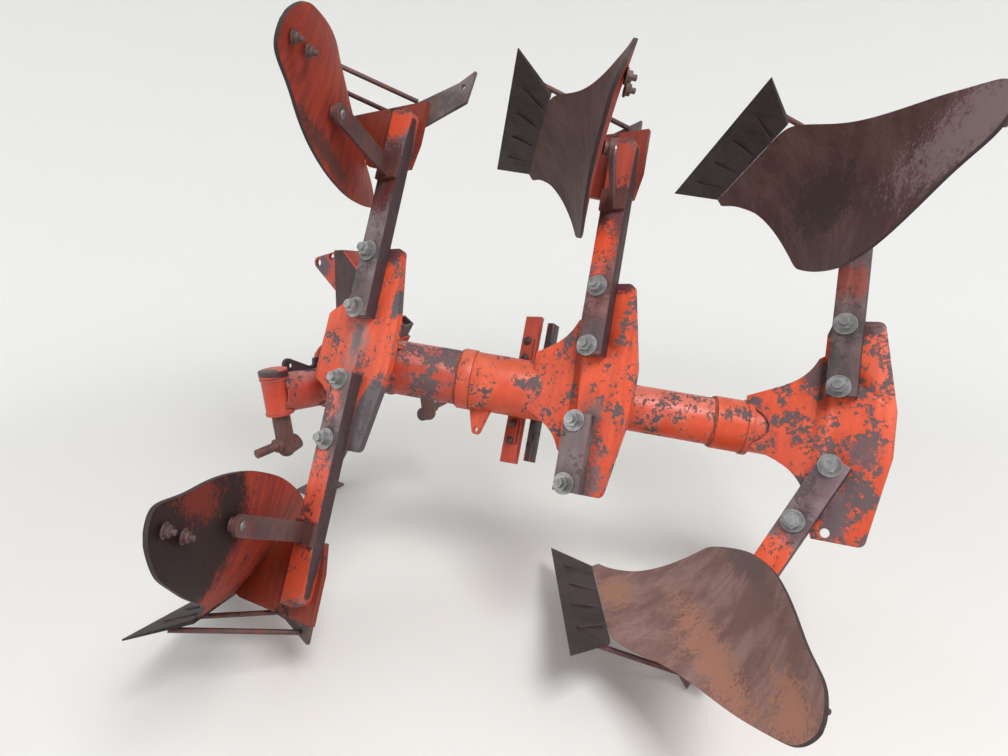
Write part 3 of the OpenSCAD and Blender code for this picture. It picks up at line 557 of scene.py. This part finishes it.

# mouldboards: the face's main, light and rust colours, patches on the back, patches on the face
# painted shade: a broad, soft, near-black patch laid on the back of the lower first board
BACK_SHADE = (0.020, 0.009, 0.008)
boards = {
    "upper_1": ((0.10, 0.055, 0.055), (0.17, 0.10, 0.10), (0.12, 0.05, 0.04), [
        (on_board(0.10, 0.74), (0.25, 0.25, 0.10), (0.16, 0.030, 0.020), 0.9),
        (on_board(0.30, 0.42), (0.26, 0.26, 0.030), (0.10, 0.030, 0.026), 0.9)], []),
    "upper_2": ((0.070, 0.034, 0.031), (0.115, 0.060, 0.055), (0.060, 0.026, 0.022), [], [
        # painted reflection: this pale grey patch towards the tail of the face is sky sheen painted in
        (on_board(0.50, 0.56), (0.18, 0.18, 0.07), (0.16, 0.105, 0.10), 0.9)]),
    "upper_3": ((0.080, 0.037, 0.034), (0.135, 0.070, 0.064), (0.070, 0.030, 0.026), [], [
        # painted reflection: this grey-pink patch towards the tail of the face is sky sheen painted in
        (on_board(0.60, 0.52), (0.30, 0.30, 0.10), (0.21, 0.145, 0.145), 0.9),
        (on_board(0.05, 0.60), (0.20, 0.20, 0.10), (0.050, 0.026, 0.025), 0.9)]),
    "lower_1": ((0.09, 0.05, 0.05), (0.16, 0.09, 0.09), (0.12, 0.05, 0.04), [
        # painted shade over much of this board's back
        (on_board(0.56, 0.50), (0.30, 0.30, 0.30), BACK_SHADE, 0.25),
        (on_board(0.50, 0.44), (0.10, 0.10, 0.060), (0.14, 0.018, 0.010), 0.95)], []),
    "lower_3": ((0.19, 0.105, 0.095), (0.30, 0.185, 0.17), (0.17, 0.080, 0.065), [], [
        (on_board(0.30, 0.63), (0.34, 0.34, 0.055), (0.36, 0.17, 0.12), 0.95),
        (on_board(0.60, 0.54), (0.12, 0.12, 0.06), (0.38, 0.18, 0.125), 0.95),
        (on_board(-0.20, 0.76), (0.12, 0.12, 0.06), (0.33, 0.17, 0.11), 0.95),
        # painted shadow: this darker grey patch low on the face is the leg's shadow painted in
        (on_board(0.10, 0.42), (0.26, 0.26, 0.05), (0.13, 0.085, 0.080), 0.95)]),
}
for body, board_look in boards.items():
    side, number = body.split("_")
    place = PLACE[body]
    finishes[f"{side}_moldboard_{number}"] = board_finish("board_" + body, body, *board_look)
    finishes[f"{side}_share_{number}"] = rusted(
        "share_" + body, place, (0.014, 0.009, 0.010), (0.040, 0.028, 0.028), (0.055, 0.028, 0.022),
        metallic=0.1, roughness=(0.55, 0.8), rust_amount=0.5)
    finishes[f"{side}_frog_{number}"] = painted(
        "frog_" + body, place, 0.40, 50, 1.0, (0.26, 0.030, 0.012), (0.22, 0.05, 0.03),
        (0.02, 0.012, 0.012), 0.2, streaky=0.7)
    finishes[f"{side}_landside_{number}"] = rusted(
        "landside_" + body, place, (0.085, 0.068, 0.070), (0.20, 0.17, 0.175), (0.13, 0.06, 0.045),
        metallic=0.3)
    finishes[f"{side}_stays_{number}"] = rusted(
        "stay_" + body, place, (0.050, 0.030, 0.032), (0.10, 0.060, 0.062), (0.20, 0.035, 0.016),
        rust_amount=0.5, metallic=0.1)
finishes["leg_bolts"] = zinc_finish("zinc_bolts", beam)
finishes["trip_bolt"] = zinc_finish("zinc_trip_bolt", beam)

for name, item in frame["nodes"].items():
    item.data.materials.clear()
    item.data.materials.append(finishes[name])


# Small tools for modelling
FRAME_MERGE = 0.00002
TRIM_MERGE = 0.00001
WEAR_ANGLE = radians(35)


def active():
    return bpy.context.view_layer.objects.active


def nothing_selected():
    if bpy.context.mode != "OBJECT":
        bpy.ops.object.mode_set(mode="OBJECT")
    bpy.ops.object.select_all(action="DESELECT")


def pick(item):
    nothing_selected()
    item.select_set(True)
    bpy.context.view_layer.objects.active = item


def rounded(item, width):
    """Rounds an item's edges."""
    edge = item.modifiers.new("rounded_edges", "BEVEL")
    edge.width = width
    edge.segments = 2
    edge.limit_method = "ANGLE"
    edge.angle_limit = WEAR_ANGLE
    pick(item)
    bpy.ops.object.modifier_apply(modifier=edge.name)


def start_copy(name, ending):
    """A duplicate of a frame piece, left in edit mode with its doubled corners merged."""
    pick(frame["nodes"][name])
    bpy.ops.object.duplicate()
    copy = active()
    copy.name = name + ending
    copy.data.name = name + ending
    bpy.ops.object.mode_set(mode="EDIT")
    bpy.ops.mesh.select_all(action="SELECT")
    bpy.ops.mesh.remove_doubles(threshold=FRAME_MERGE)
    return copy


def finish_copy(copy, name):
    """Has a copy stand for its frame piece, on that piece's body."""
    bpy.ops.object.shade_smooth_by_angle(angle=radians(32))
    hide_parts(name)
    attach(copy, body_of(frame["nodes"][name])[0])


def soften(name, width):
    """Replaces a frame piece by one whose edges are rounded as wear rounds them."""
    copy = start_copy(name, "_worn")
    bpy.ops.mesh.dissolve_limited(angle_limit=radians(0.4))
    bpy.ops.object.mode_set(mode="OBJECT")
    rounded(copy, width)
    finish_copy(copy, name)


def smooth_board(name):
    """Replaces a mouldboard by one with a smoothed outline and sweep, its rims kept sharp."""
    copy = start_copy(name, "_smooth")
    bpy.ops.mesh.select_mode(type="EDGE")
    bpy.ops.mesh.tris_convert_to_quads(face_threshold=radians(60), shape_threshold=radians(120))
    bpy.ops.mesh.select_all(action="DESELECT")
    bpy.ops.mesh.edges_select_sharp(sharpness=radians(38))
    bpy.ops.transform.edge_crease(value=1.0)
    bpy.ops.object.mode_set(mode="OBJECT")
    sweep = copy.modifiers.new("smooth_sweep", "SUBSURF")
    sweep.levels = 2
    bpy.ops.object.modifier_apply(modifier=sweep.name)
    finish_copy(copy, name)


# how far each piece's edges are worn round
ROUNDED = {
    "plate_1": 0.0025, "plate_2": 0.0025, "plate_3": 0.0025,
    "upper_leg_1": 0.0022, "upper_leg_2": 0.0022, "upper_leg_3": 0.0022,
    "lower_leg_1": 0.0022, "lower_leg_stub_2": 0.0022, "lower_leg_3": 0.0022,
    "mast_post": 0.002, "mast_cheeks": 0.002, "mast_back": 0.002, "nose_plates": 0.002,
    "lug_plate": 0.002, "stop_bars": 0.0025,
    "front_tube": 0.001, "collar_ring": 0.0015, "beam_sleeve": 0.0015, "rear_tube": 0.001,
    "neck_sleeve": 0.002, "cross_tube": 0.002, "hitch_sleeves": 0.0015, "hitch_cranks": 0.0015,
    "bearing_housing": 0.002,
}
for name, width in ROUNDED.items():
    soften(name, width)
for body in PLACE:
    smooth_board(body.replace("_", "_moldboard_"))

# Welds, bolts and clamp plates
trim_finishes = {
    "weld": rusted("weld_steel", beam, (0.20, 0.040, 0.018), (0.34, 0.060, 0.026),
                   (0.060, 0.030, 0.026), size=90.0, metallic=0.0, roughness=(0.5, 0.7)),
    "bead": rusted("bead_steel", beam, (0.030, 0.018, 0.018), (0.060, 0.036, 0.034),
                   (0.05, 0.026, 0.02), size=90.0, metallic=0.1, roughness=(0.5, 0.7)),
    "dark_bolt": rusted("dark_bolt_steel", beam, (0.040, 0.022, 0.022), (0.085, 0.050, 0.048),
                        (0.10, 0.035, 0.022), size=90.0, metallic=0.1),
    "bright_bolt": zinc_finish("bright_bolt_zinc", beam, 0.5),
    "painted_bar": painted("clamp_paint", beam, 0.45, 80, 12.5, (0.36, 0.034, 0.016)),
}


def settle(item, name, place, body, finish):
    """Puts a modelled piece in its place in the mesh, and hands it to the body that carries it."""
    item.name = name
    item.data.name = name
    item.data.transform(place)
    if place.determinant() < 0:
        item.data.flip_normals()
    pick(item)
    bpy.ops.object.shade_smooth_by_angle(angle=radians(35))
    item.data.materials.clear()
    item.data.materials.append(trim_finishes[finish])
    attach(item, body)


def lay_out(pattern, finish, copies):
    """Settles a copy of a pattern piece for each (name, place, body), and removes the pattern."""
    for name, place, body in copies:
        twin = pattern.copy()
        twin.data = pattern.data.copy()
        scene.collection.objects.link(twin)
        settle(twin, name, place, body, finish)
    bpy.data.objects.remove(pattern, do_unlink=True)


def aim(place, along, spin=0.0):
    """A placing matrix whose Z runs along a direction."""
    turn = Vector(along).normalized().to_track_quat("Z", "Y").to_matrix().to_4x4()
    return Matrix.Translation(place) @ turn @ Matrix.Rotation(spin, 4, "Z")


def outward_normals():
    bpy.ops.mesh.select_all(action="SELECT")
    bpy.ops.mesh.remove_doubles(threshold=TRIM_MERGE)
    bpy.ops.mesh.normals_make_consistent(inside=False)


def open_with_faces(item, wanted):
    """Goes into edit mode with only those faces selected whose normal is wanted."""
    bpy.ops.object.mode_set(mode="EDIT")
    bpy.ops.mesh.select_mode(type="FACE")
    bpy.ops.mesh.select_all(action="DESELECT")
    bpy.ops.object.mode_set(mode="OBJECT")
    for side in item.data.polygons:
        side.select = wanted(side.normal)
    bpy.ops.object.mode_set(mode="EDIT")


def model_weld_ring(radius, thick, ripples):
    """A weld bead laid round a tube whose axis is X: a small circle spun round it, then rippled."""
    nothing_selected()
    bpy.ops.mesh.primitive_circle_add(vertices=8, radius=thick)
    ring = active()
    bpy.ops.object.mode_set(mode="EDIT")
    bpy.ops.mesh.select_all(action="SELECT")
    bpy.ops.transform.translate(value=(0, radius, 0))
    bpy.ops.mesh.spin(steps=ripples * 4, angle=2 * pi, center=(0, 0, 0), axis=(1, 0, 0))
    outward_normals()
    bpy.ops.object.mode_set(mode="OBJECT")
    for corner in ring.data.vertices:
        turn = atan2(corner.co.z, corner.co.y)
        reach = Vector((corner.co.y, corner.co.z)).length
        swell = 1 + 0.22 * sin(ripples * turn) + 0.10 * sin(ripples * 0.37 * turn + 1.0)
        new_reach = radius + (reach - radius) * swell
        corner.co.x += 0.0012 * sin(5 * turn) + 0.0006 * sin(17 * turn)
        corner.co.y *= new_reach / reach
        corner.co.z *= new_reach / reach
    return ring


def model_bead(length, thick, steps=14):
    """A straight weld bead along X, drawn out step by step with a swelling at each."""
    nothing_selected()
    bpy.ops.mesh.primitive_circle_add(vertices=10, radius=thick, fill_type="NGON", rotation=(0, pi / 2, 0))
    bead = active()
    bpy.ops.object.transform_apply(location=False, rotation=True, scale=False)
    bpy.ops.object.mode_set(mode="EDIT")
    bpy.ops.mesh.select_all(action="SELECT")
    for step in range(steps):
        size = 1 + (0.16 if step % 2 else -0.14)
        bpy.ops.mesh.extrude_region_move(TRANSFORM_OT_translate={"value": (length / steps, 0, 0)})
        bpy.ops.transform.resize(value=(1, size, size),
                                 center_override=(length * (step + 1) / steps, 0, 0))
    outward_normals()
    bpy.ops.object.mode_set(mode="OBJECT")
    return bead


def model_cylinder(sides, radius, low, height):
    """A cylinder along Z that starts at a height."""
    nothing_selected()
    bpy.ops.mesh.primitive_cylinder_add(vertices=sides, radius=radius, depth=height,
                                        location=(0, 0, low + height / 2))
    bpy.ops.object.transform_apply(location=True, rotation=False, scale=False)
    return active()


def model_bolt(across, head, washer, end_radius, end_length):
    """A hex nut on a washer with a threaded end standing out of it, along +Z from 0."""
    parts = []
    for sides, radius, low, height, soft in (
            (28, washer, -0.001, 0.004, 0.0008),
            (6, across / 2 / cos(pi / 6), 0.002, head, 0.0016),
            (20, end_radius, head * 0.5, end_length + head * 0.5, 0.0014)):
        part = model_cylinder(sides, radius, low, height)
        rounded(part, soft)
        parts.append(part)
    nothing_selected()
    for part in parts:
        part.select_set(True)
    bpy.context.view_layer.objects.active = parts[1]
    bpy.ops.object.join()
    return active()


def model_dome(radius, height):
    """A round bolt head: a cylinder whose top is drawn in ring by ring."""
    dome = model_cylinder(24, radius, 0, height * 0.5)
    open_with_faces(dome, lambda normal: normal.z > 0.9)
    for part in (0.25, 0.18, 0.07):
        bpy.ops.mesh.inset(thickness=radius * 0.28, depth=0)
        bpy.ops.transform.translate(value=(0, 0, height * part))
    bpy.ops.object.mode_set(mode="OBJECT")
    return dome


def model_clamp_plate(long, wide, thick):
    """A clamp plate: a slab with its two ends folded up a little and its edges worn round."""
    nothing_selected()
    bpy.ops.mesh.primitive_cube_add(size=1)
    slab = active()
    slab.data.transform(Matrix.Diagonal((wide, thick, long, 1)))
    open_with_faces(slab, lambda normal: abs(normal.z) > 0.9)
    bpy.ops.mesh.inset(thickness=wide * 0.12, use_individual=True)
    bpy.ops.mesh.extrude_region_move(TRANSFORM_OT_translate={"value": (0, 0, 0)})
    bpy.ops.transform.translate(value=(0, thick * 0.6, 0))
    outward_normals()
    bpy.ops.object.mode_set(mode="OBJECT")
    rounded(slab, 0.0015)
    return slab


# weld beads on the shares, set between the share's upper edge and its cutting edge
SHARE_BEADS = (0.16, 0.38, 0.60, 0.82)
BEAD_LENGTH = 0.080
BEAD_START, BEAD_SPAN = 0.10, 0.62
BEAD_LIFT = 0.003
UPPER_EDGE_E, UPPER_EDGE_RUN = -0.430, 0.466
UPPER_EDGE_Z, UPPER_EDGE_DROP = 0.789, 0.019
CUTTING_EDGE_E, CUTTING_EDGE_RUN = -0.560, 0.715
CUTTING_EDGE_N, CUTTING_EDGE_Z = 0.370, 0.846


def bead_place(part):
    """Where a bead lies in the body's frame, at a part of the way along the share."""
    e = UPPER_EDGE_E + UPPER_EDGE_RUN * part
    z = UPPER_EDGE_Z + UPPER_EDGE_DROP * part
    high = spot(e, board_n(e, z), z + BEAD_LIFT)
    low = spot(CUTTING_EDGE_E + CUTTING_EDGE_RUN * part, CUTTING_EDGE_N, CUTTING_EDGE_Z)
    along = (low - high) * BEAD_SPAN
    stretch = Matrix.Diagonal((along.length / BEAD_LENGTH, 1, 1, 1))
    turn = along.to_track_quat("X", "Z").to_matrix().to_4x4()
    return Matrix.Translation(high.lerp(low, BEAD_START)) @ turn @ stretch


lay_out(model_bead(BEAD_LENGTH, 0.0045), "bead", [
    (f"share_bead_{name}_{number + 1}", place @ bead_place(part), RIDES[name])
    for name, place in PLACE.items() for number, part in enumerate(SHARE_BEADS)])

# bolts on the backs of the mouldboards and at the braces: places in the body's frame
BACK_BOLTS = ((-0.263, 0.607, 0.495), (-0.237, 0.550, 0.510))
BACK_BOLT_TURN = 0.4
BRACE_BOLT = (-0.134, 0.349, 0.504)
lay_out(model_bolt(0.022, 0.010, 0.016, 0.006, 0.012), "dark_bolt", [
    (f"board_bolt_{name}_{number + 1}", place @ aim(back, BACKWARD, number * BACK_BOLT_TURN), RIDES[name])
    for name, place in PLACE.items() for number, back in enumerate(BACK_BOLTS)])
lay_out(model_dome(0.012, 0.008), "bright_bolt", [
    (f"brace_bolt_{name}", place @ aim(BRACE_BOLT, BACKWARD), RIDES[name])
    for name, place in PLACE.items()])

# round-headed bolts and clamp plates on the stop bars: places in the beam's frame
STOP_BAR_X = 0.290
STOP_BOLT_Y, STOP_BOLT_ZS = -0.119, (0.150, 0.095, -0.120, -0.175)
CLAMP_Y, CLAMP_ZS = -0.124, (0.123, -0.148)
lay_out(model_dome(0.013, 0.010), "dark_bolt", [
    (f"stop_bolt_{number + 1}", beam @ aim((STOP_BAR_X, STOP_BOLT_Y, z), (0, 1, 0)), "beam")
    for number, z in enumerate(STOP_BOLT_ZS)])
lay_out(model_clamp_plate(0.070, 0.044, 0.010), "painted_bar", [
    (f"stop_clamp_{number + 1}", beam @ Matrix.Translation((STOP_BAR_X, CLAMP_Y, z)), "beam")
    for number, z in enumerate(CLAMP_ZS)])

# weld rings round the beam's tubes: name, place along the beam, tube radius, thickness, ripples
TUBE_WELDS = [
    ("weld_ring_front", 0.4100, 0.0845, 0.0045, 70),
    ("weld_sleeve_rear", 0.1745, 0.0705, 0.0060, 60),
    ("weld_neck_front", -0.2700, 0.0705, 0.0045, 60),
]
TUBE_X, TUBE_Z = 0.340, -0.018
TUBE_TURN = atan2(STEP.y, STEP.x)
tube = beam @ Matrix.Translation((TUBE_X, 0, TUBE_Z)) @ Matrix.Rotation(TUBE_TURN, 4, "Z")
for name, x, radius, thick, ripples in TUBE_WELDS:
    place = tube @ Matrix.Translation(((x - TUBE_X) / cos(TUBE_TURN), 0, 0))
    settle(model_weld_ring(radius, thick, ripples), name, place, "beam", "weld")

# Floor: flat under the plough, rising all round to a backdrop
FLOOR_SIZE, FLOOR_CUTS = 18, 47
FLAT_RADIUS, FLOOR_RISE = 3.2, 0.42
nothing_selected()
bpy.ops.mesh.primitive_plane_add(size=FLOOR_SIZE, location=(0, 0, 0))
floor = active()
floor.name = "studio_floor"
bpy.ops.object.mode_set(mode="EDIT")
bpy.ops.mesh.select_all(action="SELECT")
bpy.ops.mesh.subdivide(number_cuts=FLOOR_CUTS)
bpy.ops.object.mode_set(mode="OBJECT")
for corner in floor.data.vertices:
    far = max(0.0, Vector((corner.co.x, corner.co.y)).length - FLAT_RADIUS)
    corner.co.z = FLOOR_RISE * far ** 2
bpy.ops.object.shade_smooth()
floor_paint = bpy.data.materials.new("pale_floor")
floor_paint.use_nodes = True
tree = floor_paint.node_tree
shader = tree.nodes["Principled BSDF"]
shader.inputs["Roughness"].default_value = 0.95
shader.inputs["Specular IOR Level"].default_value = 0.1
middle = add(tree, "ShaderNodeTexCoord").outputs["Object"]
spread = add(tree, "ShaderNodeVectorMath", {"operation": "LENGTH"}, {0: middle}).outputs["Value"]
# painted shade and light: the floor is painted darker round the plough and paler further off, where it
# meets the backdrop
tone = blend_colour(tree, ramp(tree, spread, 1.5, 4.5), (0.74, 0.73, 0.71), (0.86, 0.86, 0.85))
tree.links.new(tone, shader.inputs["Base Color"])
floor.data.materials.append(floor_paint)
